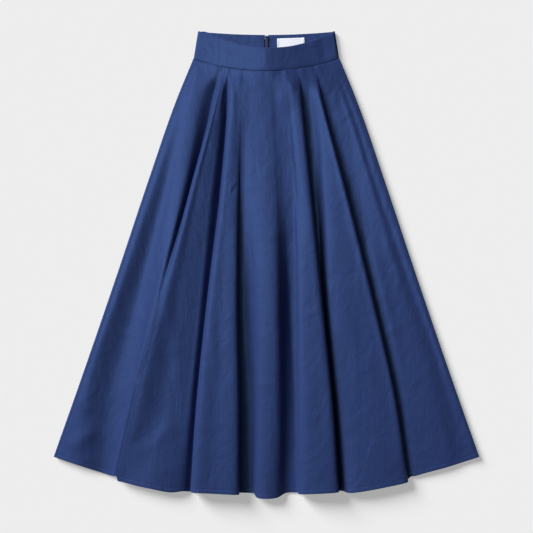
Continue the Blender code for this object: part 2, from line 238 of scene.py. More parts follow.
def tube_faces(rings: int, copies: int) -> np.ndarray:
    """Quads of closed six-sided tubes whose rings of points follow one another, two quads to each end.

    Args:
        rings: How many rings a tube has.
        copies: How many such tubes the points make.

    Returns:
        Faces by four. They point outwards where each ring runs clockwise, as seen along the tube's way.
    """
    index = np.arange(rings * TUBE_SIDES).reshape(rings, TUBE_SIDES)
    around = np.roll(index, -1, axis=1)
    sides = np.stack([index[:-1], around[:-1], around[1:], index[1:]], axis=-1).reshape(-1, 4)
    start, end = index[0, [[0, 5, 4, 3], [0, 3, 2, 1]]], index[-1, [[0, 1, 2, 3], [0, 3, 4, 5]]]
    one = np.concatenate([sides, start, end])
    return (one[None] + (np.arange(copies) * index.size)[:, None, None]).reshape(-1, 4)


RIM_TURNS = 3  # rings of vertices round a cloth's edge


def soft_wall(
    name: str, upper: np.ndarray, lower: np.ndarray, material: bpy.types.Material
) -> bpy.types.Object:
    """A closed wall of cloth between two grids, with a round edge: each ring of the edge is the edge's middle
    plus half the wall turned from the upper side through outwards to the lower side.

    Args:
        name: The piece's name.
        upper: Rows by columns by three, the side that faces up.
        lower: The same for the side that faces down.
        material: Its finish.

    Returns:
        The piece.
    """
    rows, columns = upper.shape[:2]
    count = rows * columns
    index = np.arange(count).reshape(rows, columns)
    quads = np.stack([index[:-1, :-1], index[1:, :-1], index[1:, 1:], index[:-1, 1:]], axis=-1).reshape(-1, 4)
    rim = np.concatenate([index[0, ::-1], index[1:, 0], index[-1, 1:], index[-2:0:-1, -1]])
    middle, half = 0.5 * (upper + lower), 0.5 * (upper - lower)
    outward = np.zeros_like(middle)
    outward[0] += unit(middle[0] - middle[1])
    outward[-1] += unit(middle[-1] - middle[-2])
    outward[:, 0] += unit(middle[:, 0] - middle[:, 1])
    outward[:, -1] += unit(middle[:, -1] - middle[:, -2])
    middle, half, outward = (grid.reshape(-1, 3)[rim] for grid in (middle, half, unit(outward)))
    reach = outward * np.linalg.norm(half, axis=1, keepdims=True)
    turns = np.pi * np.arange(1, RIM_TURNS + 1) / (RIM_TURNS + 1)
    rings = [middle + np.cos(turn) * half + np.sin(turn) * reach for turn in turns]
    levels = [rim] + [2 * count + k * len(rim) + np.arange(len(rim)) for k in range(RIM_TURNS)]
    levels.append(rim + count)
    walls = [
        np.stack([np.roll(a, -1), a, b, np.roll(b, -1)], axis=-1) for a, b in zip(levels[:-1], levels[1:])
    ]
    points = np.concatenate([upper.reshape(-1, 3), lower.reshape(-1, 3)] + rings)
    mesh = mesh_of(name, points, np.concatenate([quads, quads[:, ::-1] + count] + walls))
    across = np.cumsum(np.linalg.norm(np.diff(upper, axis=1, prepend=upper[:, :1]), axis=2), axis=1)
    across -= across[:, columns // 2, None]
    along = np.cumsum(np.linalg.norm(np.diff(upper, axis=0, prepend=upper[:1]), axis=2), axis=0)
    across, along = across.ravel() * MM, -along.ravel() * MM
    round_edge = [np.tile(values[rim], RIM_TURNS) for values in (across, along)]
    lay_threads(
        mesh,
        np.concatenate([across, across, round_edge[0]]),
        np.concatenate([along, along, round_edge[1]]),
    )
    return link(name, mesh, material)


def wall_area(upper: np.ndarray) -> float:
    """The cloth's area in square metres: half the length of the cross product of each cell's diagonals."""
    diagonals = upper[1:, 1:] - upper[:-1, :-1], upper[1:, :-1] - upper[:-1, 1:]
    return float(0.5 * np.linalg.norm(np.cross(*diagonals), axis=2).sum()) * MM * MM


# Finishes


def linear(color: str) -> tuple[float, float, float, float]:
    """A hex colour of the screen's kind as linear light, with full alpha."""
    shares = [int(color[i : i + 2], 16) / 255.0 for i in (1, 3, 5)]
    bent = [c / 12.92 if c <= 0.04045 else ((c + 0.055) / 1.055) ** 2.4 for c in shares]
    return (*bent, 1.0)


def add(tree: bpy.types.NodeTree, kind: str, settings: dict | None = None, **links: object) -> bpy.types.Node:
    """Adds a node, sets its properties and inputs, and links what feeds it.

    Args:
        tree: The node tree.
        kind: The node's type name.
        settings: Its properties by name, or its inputs' values by name or number.
        links: Sockets that feed its inputs, by the input's name, or by its number after a _.

    Returns:
        The node.
    """
    node = tree.nodes.new(kind)
    for key, value in (settings or {}).items():
        if isinstance(key, int) or key in node.inputs:
            node.inputs[key].default_value = value
        else:
            setattr(node, key, value)
    for key, socket in links.items():
        tree.links.new(socket, node.inputs[int(key[1:]) if key[1:].isdigit() else key])
    return node


class Pattern(Enum):
    """How a fine pattern is drawn: its texture's node, the scale at which it repeats once a metre, and its
    settings."""

    RIBS = ("ShaderNodeTexWave", math.tau / 20.0, {"bands_direction": "Y"})
    TWIST = ("ShaderNodeTexWave", math.tau / 20.0, {"bands_direction": "DIAGONAL"})
    SPECKS = ("ShaderNodeTexNoise", 1.0, {})


MIX_FROM, MIX_TO, MIXED = 6, 7, 2  # the Mix node's sockets for colours


@dataclass(frozen=True)
class Finish:
    """What the finishes share: a fine pattern that blends two shades and lifts the surface a little."""

    name: str
    shade: str
    light_shade: str = ""  # where the pattern is strongest; left out, the shade is even
    pattern: Pattern = Pattern.SPECKS
    grain: float = 1.0  # millimetres from one rib or speck to the next
    detail: float = 1.0
    wander: float = 0.0
    lift: Pair = (0.0, 0.0)  # the bump's strength, and its height in metres
    on_threads: bool = False  # on the piece's own map of its threads, or else on Object coordinates
    sockets: Sockets = ()  # the shader's other values

    def color(self, tree: bpy.types.NodeTree, shader: bpy.types.Node, share: bpy.types.NodeSocket) -> None:
        """Sets the shader's colour: a mix of the two shades by the share, or the shade alone."""
        if self.light_shade:
            ends = {"data_type": "RGBA", MIX_FROM: linear(self.shade), MIX_TO: linear(self.light_shade)}
            mix = add(tree, "ShaderNodeMix", ends, _0=share)
            tree.links.new(mix.outputs[MIXED], shader.inputs["Base Color"])
        else:
            shader.inputs["Base Color"].default_value = linear(self.shade)

    def begin(self) -> tuple[bpy.types.NodeTree, bpy.types.Node]:
        """Makes the material, with its shader's values, and returns its tree and its shader."""
        made = bpy.data.materials.new(self.name)
        made.use_nodes = True
        shader = made.node_tree.nodes["Principled BSDF"]
        for socket, value in self.sockets:
            shader.inputs[socket].default_value = value
        return made.node_tree, shader

    def material(self) -> bpy.types.Material:
        """The finish as a material."""
        tree, shader = self.begin()
        if self.on_threads:
            place = add(tree, "ShaderNodeUVMap", {"uv_map": "threads"}).outputs["UV"]
        else:
            place = add(tree, "ShaderNodeTexCoord").outputs["Object"]
        kind, once_a_metre, settings = self.pattern.value
        sizes = {"Scale": once_a_metre / (self.grain * MM), "Detail": self.detail, "Distortion": self.wander}
        drawn = add(tree, kind, settings | sizes, Vector=place).outputs["Fac"]
        self.color(tree, shader, drawn)
        strength, distance = self.lift
        if strength:
            bump = add(tree, "ShaderNodeBump", {"Strength": strength, "Distance": distance}, Height=drawn)
            tree.links.new(bump.outputs["Normal"], shader.inputs["Normal"])
        return bpy.data.materials[self.name]


@dataclass(frozen=True)
class Satin(Finish):
    """Cotton satin, piece dyed navy: long floats over a fine weave give a soft sheen of the dye's own blue,
    and slubs in the yarn run down the cloth as faint streaks."""

    name: str = "NavySatin"
    shade: str = "#1f2a50"
    light_shade: str = "#233058"  # where the yarn is thicker
    roughness: float = 0.5
    roughness_spread: float = 0.03
    slubs: Pair = (5.0, 260.0)  # size across and along the cloth
    floats: Pair = (1.1, 5.5)  # of the yarns on top, drawn three times as coarse, to show from a step away
    dents: Pair = (38.46, 58.82)  # of the faint dents from handling
    clouds: Pair = (71.43, 0.35)  # size of the broad patches, and their share in the blend
    dents_turn: float = 0.6
    weave_lift: Pair = (0.12, 0.0002)
    slub_lift: Pair = (0.3, 0.0006)
    dent_lift: Pair = (0.5, 0.0035)
    sockets: Sockets = (
        ("IOR", 1.5),
        ("Specular IOR Level", 0.9),
        ("Specular Tint", (0.22, 0.42, 1.0, 1.0)),
        ("Sheen Weight", 0.06),
        ("Sheen Roughness", 0.4),
        ("Sheen Tint", (0.35, 0.5, 1.0, 1.0)),
    )

    def material(self) -> bpy.types.Material:
        """The finish as a material that reads the piece's own map of its threads. Streaks and broad clouds
        blend the shades and the roughness. The weave, the slubs and the dents each lift the surface."""
        tree, shader = self.begin()
        threads = add(tree, "ShaderNodeUVMap", {"uv_map": "threads"}).outputs["UV"]
        noises = []
        for (across, along), turn, settings in (
            (self.slubs, 0.0, {"Detail": 3.0}),
            (self.floats, 0.0, {"Detail": 1.0}),
            (self.dents, self.dents_turn, {"Detail": 4.0, "Roughness": 0.55, "Distortion": 0.6}),
        ):
            stretch = {"Scale": (1000.0 / across, 1000.0 / along, 1.0), "Rotation": (0.0, 0.0, turn)}
            place = add(tree, "ShaderNodeMapping", stretch, Vector=threads).outputs["Vector"]
            noise = add(tree, "ShaderNodeTexNoise", {"Scale": 1.0} | settings, Vector=place)
            noises.append(noise.outputs["Fac"])
        slubs, weave, dents = noises
        size, part = self.clouds
        cloud = add(tree, "ShaderNodeTexNoise", {"Scale": 1000.0 / size, "Detail": 2.0}, Vector=threads)
        clouds = add(tree, "ShaderNodeMath", {"operation": "MULTIPLY", 1: part}, _0=cloud.outputs["Fac"])
        rest = {"operation": "MULTIPLY_ADD", 1: 1.0 - part}
        share = add(tree, "ShaderNodeMath", rest, _0=slubs, _2=clouds.outputs[0]).outputs[0]
        self.color(tree, shader, share)
        spread = {
            "From Min": 0.3,
            "From Max": 0.7,
            "To Min": self.roughness - self.roughness_spread,
            "To Max": self.roughness + self.roughness_spread,
        }
        rough = add(tree, "ShaderNodeMapRange", spread, Value=share)
        tree.links.new(rough.outputs["Result"], shader.inputs["Roughness"])

        below = {}
        lifts = ((weave, self.weave_lift), (slubs, self.slub_lift), (dents, self.dent_lift))
        for height, (strength, distance) in lifts:
            sizes = {"Strength": strength, "Distance": distance}
            bump = add(tree, "ShaderNodeBump", sizes, Height=height, **below)
            below = {"Normal": bump.outputs["Normal"]}
        tree.links.new(below["Normal"], shader.inputs["Normal"])
        return bpy.data.materials[self.name]


@dataclass(frozen=True)
class Tape(Finish):
    """Woven polyester zip tape: matt, with a herringbone too fine to see, drawn as coarse cross ribs."""

    name: str = "ZipTapeWeave"
    shade: str = "#1a2340"
    light_shade: str = "#222c4c"
    pattern: Pattern = Pattern.RIBS
    grain: float = 5.027
    wander: float = 0.6
    lift: Pair = (0.4, 0.0002)
    sockets: Sockets = (("Roughness", 0.85), ("Specular IOR Level", 0.3))


@dataclass(frozen=True)
class NylonCoil(Finish):
    """Extruded nylon monofilament, dyed navy: smooth, with a small bright glint on each turn."""

    name: str = "NylonCoil"
    shade: str = "#1b2342"
    light_shade: str = "#252e50"
    grain: float = 1.111
    sockets: Sockets = (("Roughness", 0.35), ("IOR", 1.53))


@dataclass(frozen=True)
class PaintedZinc(Finish):
    """Die-cast zinc under grey-blue zip enamel: smooth and half glossy, with a faint cast orange peel."""

    name: str = "PaintedZinc"
    shade: str = "#5a6182"
    light_shade: str = "#666d8e"
    grain: float = 0.625
    detail: float = 2.0
    lift: Pair = (0.15, 0.0001)
    sockets: Sockets = (("Roughness", 0.38), ("Metallic", 0.35))


@dataclass(frozen=True)
class LabelWeave(Finish):
    """White polyester taffeta, woven for labels: slightly shiny, with ribs across, drawn coarser than they
    are so that they show."""

    name: str = "LabelTaffeta"
    shade: str = "#d7dae3"
    light_shade: str = "#dddfe8"
    pattern: Pattern = Pattern.RIBS
    grain: float = 4.398
    wander: float = 0.4
    lift: Pair = (0.35, 0.00015)
    on_threads: bool = True
    sockets: Sockets = (("Roughness", 0.6),)


@dataclass(frozen=True)
class SewingThread(Finish):
    """Mercerised sewing cotton, twisted from two plies, a shade off the cloth."""

    name: str = "SewingThread"
    shade: str = "#24335f"
    light_shade: str = "#2c3f72"
    pattern: Pattern = Pattern.TWIST
    grain: float = 2.199  # drawn as coarse as a stitch is long
    sockets: Sockets = (("Roughness", 0.8),)


@dataclass(frozen=True)
class StudioPaper(Finish):
    """Seamless pale paper on a light table: quite matt, with a faint tooth, and glowing a little, which keeps
    the shadows on it light."""

    name: str = "StudioPaper"
    shade: str = "#a8a8a8"
    grain: float = 1.429
    detail: float = 2.0
    lift: Pair = (0.03, 0.0002)
    sockets: Sockets = (
        ("Emission Color", (1.0, 1.0, 1.0, 1.0)),
        ("Emission Strength", 0.375),
        ("Roughness", 1.0),
        ("Specular IOR Level", 0.0),
    )


# The front and its folds


class Edge(NamedTuple):
    """A fold's raised edge, which hangs over the valley beside it. Each tuple has a value for each level."""

    name: str
    faces: int  # -1 where the valley is on the left, 1 where it is on the right
    at: tuple  # place across the skirt
    lip: tuple  # height of the raised cloth
    floor: tuple  # height of the valley's bottom
    brink: tuple  # height of the valley's far side
    gap: tuple  # width of the open valley
    foot: tuple  # how far off the edge the valley's bottom lies
    tuck: float  # how far the cloth runs back under the edge
    drop: float  # extra length at the hem
    valley_drop: float  # and that of the valley


class Swell(NamedTuple):
    """A soft ridge or trough between two edges. Each tuple has a value for each level."""

    name: str
    at: tuple
    height: tuple
    drop: float


LEVELS = (0.0, 0.1, 0.3, 0.55, 0.8, 1.0)  # waist, yoke, hip, thigh, knee and hem, as shares of the way down
OUTLINE = (146.0, 178.6, 234.0, 300.3, 368.4, 424.4)  # half the skirt's width at each level

# From the left side seam to the right one
FOLDS = (
    Swell("side_1", (-134, -166.8, -221.5, -288.3, -354, -375), (9.5, 9.5, 10, 10, 10.5, 11.5), 0),
    Swell("trough_1", (-131, -160, -200, -251, -303, -326), (11, 11.4, 7.8, 3.6, 3.0, 4.4), 3),
    Swell("rise_1", (-127, -150, -180, -226, -266, -305), (12.5, 12.8, 13.2, 12.2, 11, 8.5), 3),
    Edge("edge_2", -1, (-88.5, -108.2, -152.2, -205.2, -256.3, -292.2), (17, 18, 18.2, 19.2, 18, 14.6),
         (12.5, 5, 2.6, 18.4, 17.9, 14.5), (13.5, 12, 12.8, 18.4, 17.6, 14.2), (24, 21, 9, 7, 8, 8),
         (1, 0, 0, 1, 2, 2), 4, 9, 1),
    Swell("dip_2", (-84, -99, -137, -178, -211, -252), (18, 17.4, 16.4, 15.4, 12.8, 17), 10),
    Swell("crown_2", (-82, -95.5, -127, -163.5, -187, -232), (18, 17, 15.2, 13.8, 12.6, 18), 10),
    Swell("flank_2", (-79.5, -92.5, -116.5, -138, -161, -190), (18, 16.4, 13.7, 10.8, 10.6, 15), 11),
    Edge("edge_3_left", -1, (-73.6, -77.5, -92, -117.5, -139, -150.5), (20, 22.5, 25, 26, 26.5, 26),
         (18, 9, 2.6, 2.4, 2.4, 2.4), (18, 15, 12.4, 9.8, 9.6, 10.5), (8, 11, 16, 12, 12, 16),
         (0, 0, 0, 0, 0, 0), 5, 3, 6),
    Swell("crown_3", (-64.6, -67.1, -75.7, -90.2, -100, -105.8), (21, 23.6, 26.0, 26.8, 27, 27), 1),
    Edge("edge_3_right", 1, (-50, -52, -55, -57, -53.5, -54.5), (21.3, 22.8, 24.6, 26, 26.3, 26),
         (21.1, 22, 18.8, 4.5, 2.6, 2.6), (21.4, 22.3, 21.2, 11, 8, 8.5), (8, 13, 20, 26, 30, 30),
         (3, 5, 8, 11, 17, 22), 4, 0, 0),
    Swell("flank_c_left", (-26, -26, -25, -19, -15, -19), (22, 22.8, 22.6, 19.5, 16.4, 13), 7),
    Swell("crest_c", (-8, -6, -1, 1, 2, -2), (22.3, 23.4, 25.4, 24.8, 19.6, 17), 8.5),
    Swell("flank_c_right", (8, 10, 18, 22, 24, 21), (22.2, 23.3, 24.7, 24.2, 18.4, 14.4), 7),
    Edge("edge_5_left", -1, (35, 41, 57, 60, 62, 63), (21.8, 22.6, 23.8, 24.2, 23.8, 22.8),
         (21.7, 22.3, 21.5, 6, 2.6, 2.6), (21.8, 22.7, 22.7, 13, 5.5, 4), (16, 20, 27, 25, 21, 24),
         (9, 10, 17, 14, 4, 3), 3, 0, 0),
    Swell("crown_5", (48, 56, 73, 88.1, 107.6, 114), (21.5, 24, 26.6, 27.8, 28.4, 28.6), 1),
    Edge("edge_5_right", 1, (62.4, 71.4, 88.9, 110.2, 131.5, 143), (20, 23.4, 26, 27, 27.4, 26.4),
         (17.5, 10.5, 2.6, 2.4, 2.4, 2.6), (17, 11.5, 6.5, 8, 8.5, 8.5), (9, 19, 17, 8, 8, 9),
         (2, 6, 7, 2, 2, 2), 5, 2, 4),
    Swell("slope_6", (79, 100, 116, 128, 151, 165), (18, 15.6, 14.4, 14.0, 13.6, 17), 8),
    Swell("flank_6", (86, 106, 145, 194.1, 242, 258), (17.8, 17.8, 18.5, 18.4, 18.6, 19.4), 8),
    Edge("edge_6", 1, (95, 113.6, 157.4, 209, 256, 281.5), (17, 18.6, 20, 19, 18.8, 16.5),
         (14.5, 7.5, 2.6, 2.8, 4, 4), (13, 8, 3.6, 6.6, 6.6, 6), (12, 23, 26, 21, 20, 14),
         (3, 6, 10, 9, 8, 5), 4, 8, 1),
    Swell("rise_7", (116, 148, 198, 248, 289, 316), (12, 8.4, 6.6, 7.0, 7.6, 7.5), 0),
    Swell("crest_7", (123, 155, 207, 268, 330, 362), (10.5, 9.2, 8.4, 7.9, 9.0, 9), 0),
    Swell("trough_7", (129, 163, 215, 284, 354, 394), (10, 8.6, 7.4, 6.6, 7.0, 6.6), 0),
    Swell("side_7", (136, 168.9, 223.5, 291.8, 360.5, 414), (9.3, 9.1, 8.7, 8.6, 8.5, 8), 0),
)

# Small creases where the cloth was handled, pressed or eased into the band
FRONT_CREASES = (
    Crease("pinch_3", (-75, 139), (-57, 160), 1.5, 2.4, 0.9),
    Crease("pinch_3_shade", (-70, 137), (-53, 157), 1.5, 2.6, -0.7),
    Crease("pull_c", (-50, 143), (-8, 151), 3, 4.0, 0.35),
    Crease("ease_1", (-137, 395), (-152, 330), 2, 4.5, 0.3),
    Crease("ease_2", (-97, 374), (-115, 300), 3, 3.4, -0.5),
    Crease("ease_c1", (-44, 377), (-48, 250), 2, 7.0, 0.3),
    Crease("ease_c2", (-30, 376), (-32, 292), -2, 6.0, -0.25),
    Crease("ease_c3", (-10, 375), (-9, 300), 2, 7.0, 0.25),
    Crease("ease_c4", (-4, 377), (-2, 366), 1, 3.0, -0.5),
    Crease("ease_c5", (14, 368), (18, 255), 2, 8.0, -0.5),
    Crease("ease_5", (25, 378), (30, 285), 2, 6.0, 0.25),
    Crease("lift_c", (50, 392), (47, 300), 0, 22.0, 1.6),
    Crease("ease_6", (84, 368), (100, 235), -4, 3.4, -0.9),
    Crease("ease_7", (118, 392), (143, 300), 3, 6.0, 0.25),
    Crease("press_5", (78, -302), (110, -306), 2, 3.0, 0.5),
    Crease("press_5b", (84, -379), (104, -378), -1, 2.5, 0.45),
    Crease("press_6", (190, -322), (232, -330), 3, 5.0, 0.4),
    Crease("press_c", (-26, -243), (12, -240), 2, 4.0, 0.3),
    Crease("press_7", (395, -352), (414, -378), 2, 3.0, 0.7),
    Crease("press_7b", (372, -384), (402, -368), -2, 4.0, -0.5),
    Crease("hand_1", (-262, -222), (-236, -300), 5, 12.0, 0.8),
    Crease("corner_1", (-396, -376), (-330, -332), 5, 12.0, 1.3),
    Crease("corner_1_shade", (-372, -322), (-338, -300), 3, 12.0, -0.8),
    Crease("hand_2", (-205, -60), (-178, -210), 4, 14.0, 0.9),
    Crease("hand_2b", (-256, -382), (-183, -312), -6, 12.0, 0.8),
    Crease("hand_2c", (-274, -374), (-226, -296), -5, 11.0, -0.6),
    Crease("hand_3", (-112, -120), (-98, -260), 3, 8.0, 0.6),
    Crease("hand_6", (152, -90), (184, -250), 4, 9.0, 0.7),
    Crease("hand_6b", (198, -170), (232, -300), -4, 8.0, 0.5),
    Crease("hand_7", (232, 60), (272, -60), 4, 8.0, 0.6),
)


@dataclass
class Cut:
    """The sizes that the front, the back and the waistband share. Names that end in y or side are places
    along Y, dips and drops are how much lower the middle lies, and halves are half widths."""

    side_top: float = 461.8
    back_dip: float = 6.6
    front_dip: float = 34.4
    front_lowest: float = 8.0
    dip_roundness: float = 1.25
    band_top_half: float = 137.5
    band_seam_half: float = 146.0
    seam_side: float = 407.7
    front_seam_dip: float = 27.0
    hem_side: float = -385.8
    front_hem_drop: float = 73.5
    back_hem_drop: float = 66.0
    roll_height: float = 8.6
    seam_inset: float = 5.0
    waist_rise: float = 15.8
    ridge_softness: float = 0.12
    ridge_power: float = 1.25  # more than one bends the tent's sides inwards
    folds_start: float = 0.05  # share of the way down in which the folds leave the waist's arch
    solid_wall: float = 1.4  # the solid's wall, which the fine cloth's outer side keeps
    solid_band: float = 2.4
    cloth: float = 0.9
    turning: float = 1.4  # the cloth doubled at the hem
    hem_depth: float = 8.0
    resting: float = 2.4

    def front_seam_y(self, x: np.ndarray) -> np.ndarray:
        """The waist seam on the front: a parabola that dips to the centre."""
        return self.seam_side - self.front_seam_dip * (1.0 - (x / self.band_seam_half) ** 2)

    def back_seam_y(self, x: np.ndarray) -> np.ndarray:
        """The waist seam on the back: a shallow parabola."""
        return self.seam_side - self.back_dip * (1.0 - (x / self.band_seam_half) ** 2)

    def back_top_y(self, x: np.ndarray) -> np.ndarray:
        """The back waistband's top edge: a shallow parabola."""
        return self.side_top - self.back_dip * (1.0 - (x / self.band_top_half) ** 2)

    def band_half(self, down: np.ndarray) -> np.ndarray:
        """Half the waistband's width at shares of the way down."""
        return self.band_top_half + (self.band_seam_half - self.band_top_half) * down

    def hem_y(self, x: np.ndarray, drop: np.ndarray | float) -> np.ndarray:
        """The hem: a parabola that hangs lower by drop at the centre."""
        return self.hem_side - drop * (1.0 - (x / OUTLINE[-1]) ** 2)

    def waist_arch(self, x: np.ndarray, half: np.ndarray | float) -> np.ndarray:
        """Height of the front at the waist: low at the sides, a tent with a rounded ridge. It rises with a
        power of one less a hyperbola of the share of the way to the side."""
        share = np.abs(x) / (half - self.seam_inset)
        slope = np.sqrt(share**2 + self.ridge_softness**2) / np.sqrt(1.0 + self.ridge_softness**2)
        return self.roll_height + self.waist_rise * np.maximum(1.0 - slope, 0.0) ** self.ridge_power


def hanging(top: np.ndarray, foot: np.ndarray, down: np.ndarray) -> np.ndarray:
    """Rows by columns of places along Y, straight from each column's top to its foot."""
    return top[None, :] + (foot - top)[None, :] * down[:, None]


@dataclass
class FrontPanel:
    """The front: one flared piece, draped into deep soft folds that run from the waist to the hem."""

    cut: Cut
    rows: int = 158
    spacing: float = 3.0
    seam_rows: tuple = (0.0, 0.7, 1.5, 2.6, 4.2, 6.5, 9.5)
    hem_rows: tuple = (13.0, 10.5, 9.2, 8.4, 7.6, 6.8, 5.0, 3.0, 1.4, 0.5, 0.0)
    length: float = 850.0
    on_arch: float = 0.008  # share of the way down where the folds begin to leave the waist's arch
    middle_start: float = 0.45  # the middle folds leave it in this share of the others' way
    middle: Pair = (40.0, 60.0)
    right_delay: float = 0.35  # and the right ones take so much longer
    right: Pair = (45.0, 55.0)
    waist_crowding: float = 0.3  # the lines of an edge lie this close together at the waist
    crowding_ends: float = 0.08
    crisp_rise: float = 16.0  # an edge this high over its valley is crisp, and a lower one is soft
    soft_tuck: float = 3.0
    soft_spread: float = 4.0
    shoulders: tuple[float, float, float] = (4.5, 2.4, 2.5)  # of a left edge, a right one, and more if soft
    turn: tuple[float, float, float] = (0.25, 0.68, 0.8)  # two shares of the rise, and the soft turn's width
    under_band: float = 0.7
    seam_press: Pair = (0.75, 1.8)  # depth and half width of the press at the waist seam
    hem_press: Pair = (0.16, 0.9)  # and of the groove along the hem's stitches
    hem_lift: float = 0.05  # how far the turned hem stands out
    hem_ramp: float = 1.5

    def shares(self) -> np.ndarray:
        """Shares of the way down for the rows: even, and close together at the seam and the hem."""
        top = np.array(self.seam_rows) / self.length
        foot = 1.0 - np.array(self.hem_rows) / self.length
        return np.concatenate([top, np.linspace(top[-1], foot[0], self.rows)[1:-1], foot])

    def leaving_arch(self, height: np.ndarray, at: np.ndarray, t: np.ndarray) -> np.ndarray:
        """A line's heights, which start on the waist seam's arch and leave it smoothly. The share of the arch
        falls from one as an eased step, sooner at the middle and later on the right."""
        beside = eased((np.abs(at[0]) - self.middle[0]) / (self.middle[1] - self.middle[0]))
        start = self.cut.folds_start * (self.middle_start + (1.0 - self.middle_start) * beside)
        start *= 1.0 + self.right_delay * eased((at[0] - self.right[0]) / (self.right[1] - self.right[0]))
        early = 1.0 - eased((t - self.on_arch) / start)
        return height + early * (self.cut.waist_arch(at[0], self.cut.band_seam_half) - height)

    def edge_stations(self, edge: Edge, t: np.ndarray) -> list[tuple]:
        """Stations over a raised edge, from the valley to the raised cloth: the valley's near side, its
        bottom, the turn under the edge, the edge and its shoulder.

        Args:
            edge: The fold's edge.
            t: Shares of the way down.

        Returns:
            For each station its places, heights and drops, from left to right.
        """
        at, gap, foot = (hermite(LEVELS, values, t) for values in (edge.at, edge.gap, edge.foot))
        lip, floor, brink = (
            self.leaving_arch(hermite(LEVELS, heights, t), at, t)
            for heights in (edge.lip, edge.floor, edge.brink)
        )
        rise = lip - floor
        crisp = np.clip(rise / self.crisp_rise, 0.0, 1.0)
        soft = 1.0 - crisp
        spread = self.waist_crowding + (1.0 - self.waist_crowding) * eased(t / self.crowding_ends)
        inwards = -edge.faces * spread
        tuck = edge.tuck * crisp - self.soft_tuck * soft
        left_shoulder, right_shoulder, soft_shoulder = self.shoulders
        shoulder = (left_shoulder if edge.faces < 0 else right_shoulder) + soft_shoulder * soft
        low_share, high_share, soft_turn = self.turn
        stations = [
            (at - inwards * (gap + self.soft_spread * soft), brink, edge.valley_drop),
            (at - inwards * (foot + self.soft_spread * soft), floor, edge.valley_drop),
            (at + inwards * tuck, floor + low_share * rise, edge.drop),
            (at + inwards * soft_turn * soft, floor + high_share * rise, edge.drop),
            (at + inwards * shoulder, lip, edge.drop),
        ]
        stations = [(x, z, np.full(len(t), drop)) for x, z, drop in stations]
        return stations if edge.faces < 0 else stations[::-1]

    def stations(self, t: np.ndarray) -> np.ndarray:
        """Rows by stations of places, heights and drops, from one side seam to the other."""
        half = hermite(LEVELS, OUTLINE, t)
        seam, none = np.full(len(t), self.cut.roll_height), np.zeros(len(t))
        found = [(self.cut.seam_inset - half, seam, none)]
        for fold in FOLDS:
            if isinstance(fold, Edge):
                found += self.edge_stations(fold, t)
            else:
                at = hermite(LEVELS, fold.at, t)
                height = self.leaving_arch(hermite(LEVELS, fold.height, t), at, t)
                found.append((at, height, np.full(len(t), fold.drop)))
        found.append((half - self.cut.seam_inset, seam, none))
        return np.array(found).transpose(2, 0, 1)

    def surface(self) -> np.ndarray:
        """The cloth's outer side: a smooth section through each row's stations. A station runs straight from
        its place on the waist seam to its place on the hem. Creases and the turned edges are added along the
        normals."""
        cut, t = self.cut, self.shares()
        stations = self.stations(t)
        top_x, hem_x, drop = stations[0, :, 0], stations[-1, :, 0], stations[0, :, 2]
        top = cut.front_seam_y(top_x) + self.under_band
        hem = cut.hem_y(hem_x, cut.front_hem_drop) - drop
        points = np.stack([stations[..., 0], hanging(top, hem, t), stations[..., 1]], axis=2)
        middle = smooth_sections(points, steps_for(points, self.spacing, fewest=3, most=12))
        middle[..., 2] = np.maximum(middle[..., 2], cut.resting)
        from_seam = (t * self.length)[:, None]
        past_stitches = ((1.0 - t) * self.length)[:, None] - cut.hem_depth
        lift = relief_of(FRONT_CREASES, middle[..., 0], middle[..., 1])
        for (depth, width), distance in ((self.seam_press, from_seam), (self.hem_press, past_stitches)):
            lift = lift - depth * fading(distance, width)
        lift = lift + self.hem_lift * eased(-past_stitches / self.hem_ramp)
        return middle + normals_of(middle) * (0.5 * cut.solid_wall + lift)[..., None]

    def build(self, satin: bpy.types.Material) -> bpy.types.Object:
        """Makes the panel, which stands for its solid.

        Args:
            satin: The cloth's finish.

        Returns:
            The panel.
        """
        upper = self.surface()
        from_hem = ((1.0 - self.shares()) * self.length)[:, None, None]
        wall = self.cut.cloth + (self.cut.turning - self.cut.cloth) * (from_hem < self.cut.hem_depth)
        panel = soft_wall("front_panel_cloth", upper, upper - normals_of(upper) * wall, satin)
        log.info("front area %.3f m2, %d columns", wall_area(upper), upper.shape[1])
        return dressed(panel, Slot.SATIN, "front_panel")


def dressed(piece: bpy.types.Object, slot: Slot, *nodes: str, body: str = BODY) -> bpy.types.Object:
    """Puts a piece on its body and hides the solids that it stands for.

    Args:
        piece: The piece.
        slot: The record's slot that its finish comes from. It is not used.
        nodes: The solids that it replaces.
        body: The body that it rides on.

    Returns:
        The piece.
    """
    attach(piece, body)
    if nodes:
        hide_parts(*nodes)
    log.info("%s: %d faces", piece.name, len(piece.data.polygons))
    return piece


